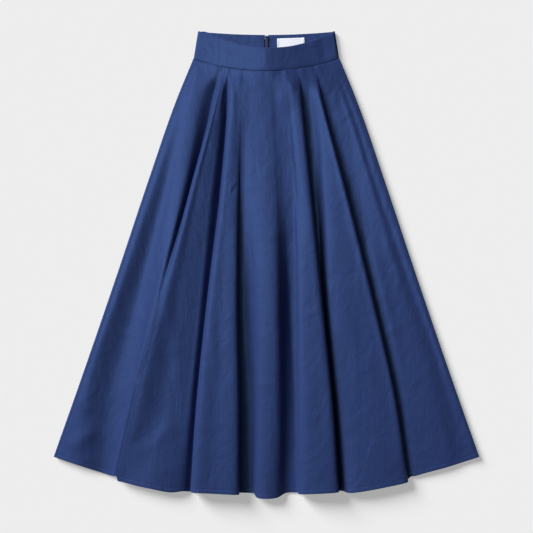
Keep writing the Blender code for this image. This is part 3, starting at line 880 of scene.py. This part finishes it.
@dataclass
class BackPanels:
    """The back: two pieces joined down the middle, flat on the surface and rolled up at their sides."""

    cut: Cut
    rows: int = 90
    roll_inward: tuple = (14.0, 9.0, 5.9, 2.6, 0.75, 0.7, 1.9, 3.5, 4.55)
    roll_height: tuple = (0.7, 0.7, 0.95, 2.3, 4.6, 5.6, 8.0, 8.55, 8.6)
    hem_rows: tuple = (16.0, 10.0, 9.0, 8.0, 7.0, 5.0, 2.0, 0.0)
    length: float = 860.0
    flat_columns: int = 18
    flat_ends: float = 0.94  # share of the flat stretch that its even columns cover
    spacing: float = 9.0

    def middle(self, sign: int) -> np.ndarray:
        """The cloth's middle: straight across the surface, then up and round the side by the roll's table."""
        cut = self.cut
        foot = 1.0 - np.array(self.hem_rows) / self.length
        t = np.concatenate([np.linspace(0.0, foot[0], self.rows), foot[1:]])
        half = hermite(LEVELS, OUTLINE, t)
        roll = sign * (half[:, None] - np.array(self.roll_inward)[None, :])
        seam = 0.5 * cut.cloth
        even = np.linspace(0.0, self.flat_ends, self.flat_columns)
        flat = sign * (seam + (np.abs(roll[:, :1]) - seam) * even)
        x = np.concatenate([flat, roll], axis=1)
        low = np.full_like(flat, 0.5 * cut.solid_wall)
        z = np.concatenate([low, np.broadcast_to(self.roll_height, roll.shape)], axis=1)
        top, hem = cut.back_seam_y(x[0]) - seam, cut.hem_y(x[-1], cut.back_hem_drop)
        points = np.stack([x, hanging(top, hem, t), z], axis=2)
        return smooth_sections(points, steps_for(points, self.spacing, fewest=2, most=3))

    def build(self, name: str, sign: int, node: str, satin: bpy.types.Material) -> bpy.types.Object:
        """Makes one of the two panels.

        Args:
            name: The piece's name.
            sign: -1 for the left one, 1 for the right one.
            node: The solid that it stands for.
            satin: The cloth's finish.

        Returns:
            The panel.
        """
        middle = self.middle(sign)
        middle = middle if sign > 0 else middle[:, ::-1]
        out = normals_of(middle) * 0.5 * self.cut.solid_wall
        panel = soft_wall(name, middle + out, middle - out, satin)
        log.info("%s area %.3f m2", name, wall_area(middle))
        return dressed(panel, Slot.SATIN, node)


@dataclass
class Waistband:
    """The shaped waistband: its front stands in a low tent over the back, which lies flat and opens at the
    zip. Both are doubled, so their edges are round folds."""

    cut: Cut
    rows: int = 26
    columns: int = 110
    foot_rows: tuple = (0.95, 0.975, 0.99, 1.0)  # shares of the way down, close together at the foot
    notch_half: float = 3.9
    notch_depth: float = 3.2
    groove_half: float = 3.9  # the columns inside it are thinner
    edge_turn: float = 0.9  # how far the front's top edge lies inside its outline, where it turns
    foot_gap: float = 0.3
    foot_press: Pair = (0.5, 2.6)  # depth and half width of the press at the foot
    near_zip: tuple = (0.2, 1.2, 2.4, 3.4, 3.8, 4.3, 5.5, 8.0)  # columns of the back beside the zip
    flat_columns: int = 22
    flat_ends: float = 0.95
    back_rows: tuple = (0.0, 0.02, 0.05)  # shares of the way down, close together at the top edge
    roll_swell: float = 0.5  # how much higher the roll's flat end is than the panel's
    back_edge_turn: float = 0.7
    creases: tuple[Crease, ...] = (
        Crease("side_dart", (-127, 432), (-112, 414), 2, 4.0, -0.45),
        Crease("side_dart_ridge", (-122, 436), (-106, 417), 2, 4.0, 0.35),
        Crease("long_left", (-112, 428), (-25, 401), -3, 6.0, 0.3),
        Crease("ridge_fold", (-2, 424), (-4, 385), 1, 4.0, 0.3),
        Crease("edge_right", (30, 422), (112, 440), -3, 5.0, 0.25),
        Crease("side_press", (106, 452), (113, 400), 2, 9.0, -0.9),
    )
    inside_creases: tuple[Crease, ...] = (
        Crease("facing_fold", (-122, 453.5), (-6, 446.4), 1.5, 1.3, -0.4),
        Crease("facing_seam", (-118, 446.5), (-6, 436.5), 2, 1.2, -0.35),
        Crease("facing_right", (8, 447.5), (40, 449.5), 0, 1.4, -0.3),
    )

    def front(self, satin: bpy.types.Material) -> bpy.types.Object:
        """The front band: a grid across and down whose height is the waist's arch. Its top edge dips as a
        power of a parabola, and its foot sinks a little into the waist seam."""
        cut = self.cut
        across = np.linspace(-1.0, 1.0, self.columns)[None, :]
        down = np.concatenate([np.linspace(0.0, self.foot_rows[0], self.rows), self.foot_rows[1:]])[:, None]
        half = cut.band_half(down)
        x = across * (half - cut.seam_inset)
        off_lowest = (x[0] - cut.front_lowest) / (cut.band_top_half - cut.seam_inset)
        dip = cut.front_dip * np.maximum(1.0 - off_lowest**2, 0.0) ** cut.dip_roundness
        edge = 0.5 * cut.solid_band
        top = cut.side_top - self.edge_turn - dip - edge
        foot = cut.front_seam_y(x[-1]) + edge - self.foot_gap
        middle = np.stack([x, top + (foot - top) * down, cut.waist_arch(x, half)], axis=2)
        normal = normals_of(middle)
        from_seam = middle[..., 1] - foot[None, :]
        depth, width = self.foot_press
        lift = relief_of(self.creases, middle[..., 0], middle[..., 1]) - depth * fading(from_seam, width)
        band = soft_wall(
            "band_front_cloth", middle + normal * (edge + lift)[..., None], middle - normal * edge, satin
        )
        return dressed(band, Slot.SATIN, "waistband_front")

    def back(self, name: str, sign: int, node: str, satin: bpy.types.Material) -> bpy.types.Object:
        """Half of the back band: flat, rolled up at its side, thinner beside the zip, with its corner there
        rounded down into a small notch.

        Args:
            name: The piece's name.
            sign: -1 for the left half, 1 for the right one.
            node: The solid that it stands for.
            satin: The cloth's finish.

        Returns:
            The half.
        """
        cut, back = self.cut, BackPanels(self.cut)
        down = np.concatenate([self.back_rows, np.linspace(2.0 * self.back_rows[-1], 1.0, self.rows)])
        half = cut.band_half(down)
        inward = np.array(back.roll_inward[1:])
        height = np.array(back.roll_height[1:]) + np.linspace(self.roll_swell, 0.0, len(inward))
        roll = half[:, None] - inward[None, :]
        near = np.array(self.near_zip)
        even = np.linspace(0.0, self.flat_ends, self.flat_columns)[None, 1:]
        flat = near[-1] + (roll[:, :1] - near[-1]) * even
        x = np.concatenate([np.broadcast_to(near, (len(half), len(near))), flat, roll], axis=1)
        thick = np.where(x[:, : len(near)] < self.groove_half, cut.solid_wall, cut.solid_band)
        thick = np.concatenate([thick, np.full((len(half), x.shape[1] - len(near)), cut.solid_band)], axis=1)
        rolled = np.broadcast_to(height - height[0], roll.shape)
        low = np.concatenate([np.zeros_like(x[:, : len(near) + flat.shape[1]]), rolled], axis=1)
        notch = self.notch_depth * eased(1.0 - x[0] / self.notch_half)
        top = cut.back_top_y(x[0]) - notch - self.back_edge_turn
        foot = cut.back_seam_y(x[-1]) + 0.5 * cut.cloth
        lower = np.stack([sign * x, hanging(top, foot, down), low], axis=2)
        if sign < 0:
            lower, thick = lower[:, ::-1], thick[:, ::-1]
        normal = normals_of(lower)
        lift = relief_of(self.inside_creases, lower[..., 0], lower[..., 1])
        half_band = soft_wall(name, lower + normal * (thick + lift)[..., None], lower, satin)
        return dressed(half_band, Slot.SATIN, node)


@dataclass
class Zip:
    """A closed coil zip at the centre back, seen from inside, with its slider at the top."""

    slider_y: float = 449.3
    slider_length: float = 9.0
    zip_length: float = 190.0
    tape_top: float = 2.2
    turn: float = 1.3  # from one turn of the coil to the next
    wire: float = 0.42
    coil_half: float = 2.1
    coil_height: float = 1.35
    bend_start: float = 0.04  # share of the half ellipse that is left out at each foot
    bends: int = 9
    stop_gap: float = 2.5  # from the tapes' foot to the coil's
    slider_gap: float = 0.9
    mesh_shift: float = 0.28  # how far each half's turns lie off the middle
    on_tape: float = 0.35

    def coil(self, nylon: bpy.types.Material) -> bpy.types.Object:
        """The coil: a low arch of round wire for each turn, half an ellipse across the zip, set a little to
        the left and to the right by turns, as the two halves mesh."""
        foot = self.slider_y + 0.5 * self.slider_length - self.zip_length + self.stop_gap
        top = self.slider_y - 0.5 * self.slider_length - self.slider_gap
        count = int((top - foot) / self.turn)
        bend = np.linspace(self.bend_start, 1.0 - self.bend_start, self.bends) * np.pi
        ring = np.linspace(0.0, 2 * np.pi, TUBE_SIDES, endpoint=False)
        spread = np.stack([np.cos(ring), np.sin(ring)], axis=1) * self.wire
        radial = np.stack([np.cos(bend), np.sin(bend)], axis=1)
        line = radial * [self.coil_half - self.wire, self.coil_height - self.wire]
        x = line[:, None, 0] + radial[:, None, 0] * spread[None, :, 0]
        z = line[:, None, 1] + radial[:, None, 1] * spread[None, :, 0]
        y = np.broadcast_to(spread[None, :, 1], x.shape)
        bead = np.stack([x, y, z], axis=2)
        shift = np.zeros((count, 1, 1, 3))
        shift[:, 0, 0, 0] = self.mesh_shift * np.where(np.arange(count) % 2, 1.0, -1.0)
        shift[:, 0, 0, 1] = foot + self.turn * np.arange(count)
        shift[:, 0, 0, 2] = self.tape_top + self.on_tape + self.wire
        points = (bead[None] + shift).reshape(-1, 3)
        coil = link("zip_coil_turns", mesh_of("zip_coil_turns", points, tube_faces(len(bend), count)), nylon)
        return dressed(coil, Slot.COIL, "zip_coil")

    def dress_nodes(
        self, tape: bpy.types.Material, metal: bpy.types.Material, metal_with_painted_shade: bpy.types.Material
    ) -> None:
        """Gives the tapes, the slider and the pull tab, which keep their solids, their finishes. The pull
        tab's finish is a darker copy of the slider's painted zinc, which paints shade onto the tab.
        """
        for node, finish in (
            ("zip_tape_left", tape),
            ("zip_tape_right", tape),
            ("zip_slider", metal),
            # painted shade: the pull tab takes a darker copy of the slider's painted zinc
            ("zip_pull", metal_with_painted_shade),
        ):
            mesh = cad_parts[node].data
            mesh.materials.clear()
            mesh.materials.append(finish)
            log.info("%s keeps its solid", node)


@dataclass
class Label:
    """A bare woven label, sewn flat inside the back waistband by its two ends."""

    width: float = 54.0
    height: float = 22.0
    wall: float = 0.45
    low: float = 2.62
    x: float = 48.8
    y: float = 437.8
    tilt: float = 2.1
    columns: int = 55
    rows: int = 23
    swell: float = 0.35
    swell_lean: float = 0.5  # how much more of it lies towards the top
    fold_depth: float = 4.5  # of the ends that are folded under
    fold_rise: float = 0.15
    fold_ramp: float = 1.2

    def placed(self, x: np.ndarray, y: np.ndarray) -> tuple[np.ndarray, np.ndarray]:
        """Places on the label turned by its tilt and moved to where it is sewn on."""
        across, up = math.cos(math.radians(self.tilt)), math.sin(math.radians(self.tilt))
        return self.x + x * across - y * up, self.y + x * up + y * across

    def build(self, weave: bpy.types.Material) -> bpy.types.Object:
        """Makes the label: a flat sheet that swells a little between its sewn ends, as a squared sine, and
        rises over its folded ends."""
        across, down = np.meshgrid(np.linspace(-0.5, 0.5, self.columns), np.linspace(0.5, -0.5, self.rows))
        x, y = self.width * across, self.height * down
        swell = self.swell * np.sin(np.pi * (across + 0.5)) ** 2 * (1.0 + self.swell_lean * down)
        folded = self.fold_rise * eased((np.abs(x) - 0.5 * self.width + self.fold_depth) / self.fold_ramp)
        lower = np.stack([*self.placed(x, y), self.low + swell], axis=2)
        upper = lower + np.stack([0 * x, 0 * x, self.wall + folded], axis=2)
        label = soft_wall("label_bare", upper, lower, weave)
        return dressed(label, Slot.LABEL, "label")


@dataclass
class Stitching:
    """Rows of machine stitches, each a short capsule half sunk in the cloth."""

    cut: Cut
    length: float = 2.6
    gap: float = 0.9
    thick: float = 0.42
    rings: tuple = (0.0, 0.12, 0.5, 0.88, 1.0)  # where a stitch's rings lie, as shares of its length
    sunk: float = 0.05
    blunt: float = 0.02  # keeps the rings at a stitch's ends open
    from_label_end: float = 1.6
    label_share: float = 0.92  # of the label's height that its stitches cover
    label_points: int = 12

    def row(
        self, name: str, line: np.ndarray, up: np.ndarray, thread: bpy.types.Material
    ) -> bpy.types.Object:
        """A row of stitches at even steps along a line. Each is a tube whose radius falls at its ends as the
        root of one less a fourth power.

        Args:
            name: The piece's name.
            line: Points along the row, in millimetres.
            up: The cloth's normal at each.
            thread: Its finish.

        Returns:
            The row.
        """
        run = np.append(0.0, np.cumsum(np.linalg.norm(np.diff(line, axis=0), axis=1)))
        step = self.length + self.gap
        start = np.arange(step, run[-1] - step, step)
        first, last = (
            np.stack([np.interp(start + further, run, line[:, i]) for i in range(3)], axis=1)
            for further in (0.0, self.length)
        )
        ahead = unit(last - first)
        top = unit(np.stack([np.interp(start, run, up[:, i]) for i in range(3)], axis=1))
        side = np.cross(ahead, top)
        along = np.array(self.rings)
        radius = 0.5 * self.thick * np.sqrt(np.maximum(1.0 - (2 * along - 1.0) ** 4, self.blunt))
        turn = np.linspace(0.0, 2 * np.pi, TUBE_SIDES, endpoint=False)[:, None]
        ring = np.cos(turn) * side[:, None, None, :] + np.sin(turn) * top[:, None, None, :]
        ring = radius[:, None, None] * ring
        middle = first[:, None, :] + (last - first)[:, None, :] * along[None, :, None]
        points = (middle[:, :, None, :] + ring).reshape(-1, 3)
        faces = tube_faces(len(along), len(start))[:, ::-1]
        return link(name, mesh_of(name, points, faces), thread)

    def front_hem(self, front: FrontPanel, thread: bpy.types.Material) -> bpy.types.Object:
        """The stitches that hold the front's turned hem, along the row of the cloth at the hem's depth."""
        upper = front.surface()
        near = int(np.argmin(np.abs((1.0 - front.shares()) * front.length - self.cut.hem_depth)))
        line, up = upper[near], normals_of(upper)[near]
        stitches = self.row("hem_stitches_front", line - self.sunk * up, up, thread)
        return dressed(stitches, Slot.SATIN)

    def label_ends(self, label: Label, thread: bpy.types.Material) -> list[bpy.types.Object]:
        """The stitches down the label's two ends."""
        made = []
        for side, word in ((-1, "left"), (1, "right")):
            y = np.linspace(-0.5, 0.5, self.label_points) * self.label_share * label.height
            x = np.full_like(y, side * (0.5 * label.width - self.from_label_end))
            z = np.full_like(y, label.low + label.wall + label.fold_rise)
            line = np.stack([*label.placed(x, y), z], axis=1)
            up = np.tile([0.0, 0.0, 1.0], (len(y), 1))
            made.append(dressed(self.row(f"label_stitches_{word}", line, up, thread), Slot.LABEL))
        return made


@dataclass
class Studio:
    """A pale paper floor, a soft key light from the upper left, a softbox that only gives the satin its
    sheen, and a camera straight above."""

    camera_height: float = 2.2
    frame_width: float = 1.066  # metres of floor across the picture
    camera_y: float = -0.0072
    key_from: tuple[float, float, float] = (-1.5, 1.4, 1.0)
    key_strength: float = 8.2
    key_angle: float = 28.0
    sky: float = 0.07
    sheen_power: float = 31.0
    sheen_from: tuple[float, float, float] = (-0.95, 0.55, 1.95)
    sheen_size: float = 1.7
    floor_reach: float = 20.0
    floor_z: float = -0.0003

    def camera(self) -> None:
        """A camera that looks straight down, with the skirt's waist at the top of the picture."""
        lens = bpy.data.cameras.new("camera")
        lens.sensor_width = 36.0
        lens.lens = lens.sensor_width * self.camera_height / self.frame_width
        eye = bpy.data.objects.new("camera", lens)
        eye.location = (0.0, self.camera_y, self.camera_height)
        bpy.context.scene.collection.objects.link(eye)
        bpy.context.scene.camera = eye

    def lights(self) -> None:
        """The key as a wide sun, the even sky and the sheen's softbox."""
        sun = bpy.data.lights.new("key", "SUN")
        sun.energy, sun.angle = self.key_strength, math.radians(self.key_angle)
        box = bpy.data.lights.new("sheen", "AREA")
        box.energy, box.size = self.sheen_power, self.sheen_size
        lamps = []
        for light, away in ((sun, self.key_from), (box, self.sheen_from)):
            lamp = bpy.data.objects.new(light.name, light)
            lamp.location = away
            lamp.rotation_euler = (-Vector(away)).to_track_quat("-Z", "Y").to_euler()
            bpy.context.scene.collection.objects.link(lamp)
            lamps.append(lamp)
        key, sheen = lamps
        key.visible_glossy = False
        sheen.visible_diffuse = False
        world = bpy.data.worlds.new("studio")
        world.use_nodes = True
        sky = world.node_tree.nodes["Background"]
        sky.inputs["Color"].default_value = (1.0, 1.0, 1.0, 1.0)
        sky.inputs["Strength"].default_value = self.sky
        bpy.context.scene.world = world
        bpy.context.scene.view_settings.view_transform = "Standard"

    def floor(self) -> None:
        """The paper, just under the skirt."""
        reach, low = self.floor_reach, self.floor_z
        corners = [(-reach, -reach, low), (reach, -reach, low), (reach, reach, low), (-reach, reach, low)]
        mesh = bpy.data.meshes.new("paper_floor")
        mesh.from_pydata(corners, [], [(0, 1, 2, 3)])
        link("paper_floor", mesh, StudioPaper().material())


def main() -> None:
    """Builds the studio and the skirt in order."""
    logging.basicConfig(level=logging.INFO, format="%(message)s")
    studio = Studio()
    studio.camera()
    studio.lights()
    studio.floor()

    satin, thread = Satin().material(), SewingThread().material()
    cut = Cut()
    back = BackPanels(cut)
    back.build("back_left_cloth", -1, "back_panel_left", satin)
    back.build("back_right_cloth", 1, "back_panel_right", satin)
    front = FrontPanel(cut)
    front.build(satin)
    band = Waistband(cut)
    band.back("band_back_left_cloth", -1, "waistband_back_left", satin)
    band.back("band_back_right_cloth", 1, "waistband_back_right", satin)
    band.front(satin)

    fastener = Zip()
    fastener.coil(NylonCoil().material())
    # A darker copy of the slider's painted zinc for the pull tab: painted shade, not a paint of its own.
    pull_painted_shade = PaintedZinc(name="PaintedZincPaintedShade", shade="#1d2544", light_shade="#2b3457")
    fastener.dress_nodes(Tape().material(), PaintedZinc().material(), pull_painted_shade.material())
    label = Label()
    label.build(LabelWeave().material())
    sewing = Stitching(cut)
    sewing.front_hem(front, thread)
    sewing.label_ends(label, thread)


if __name__ == "__main__":
    main()
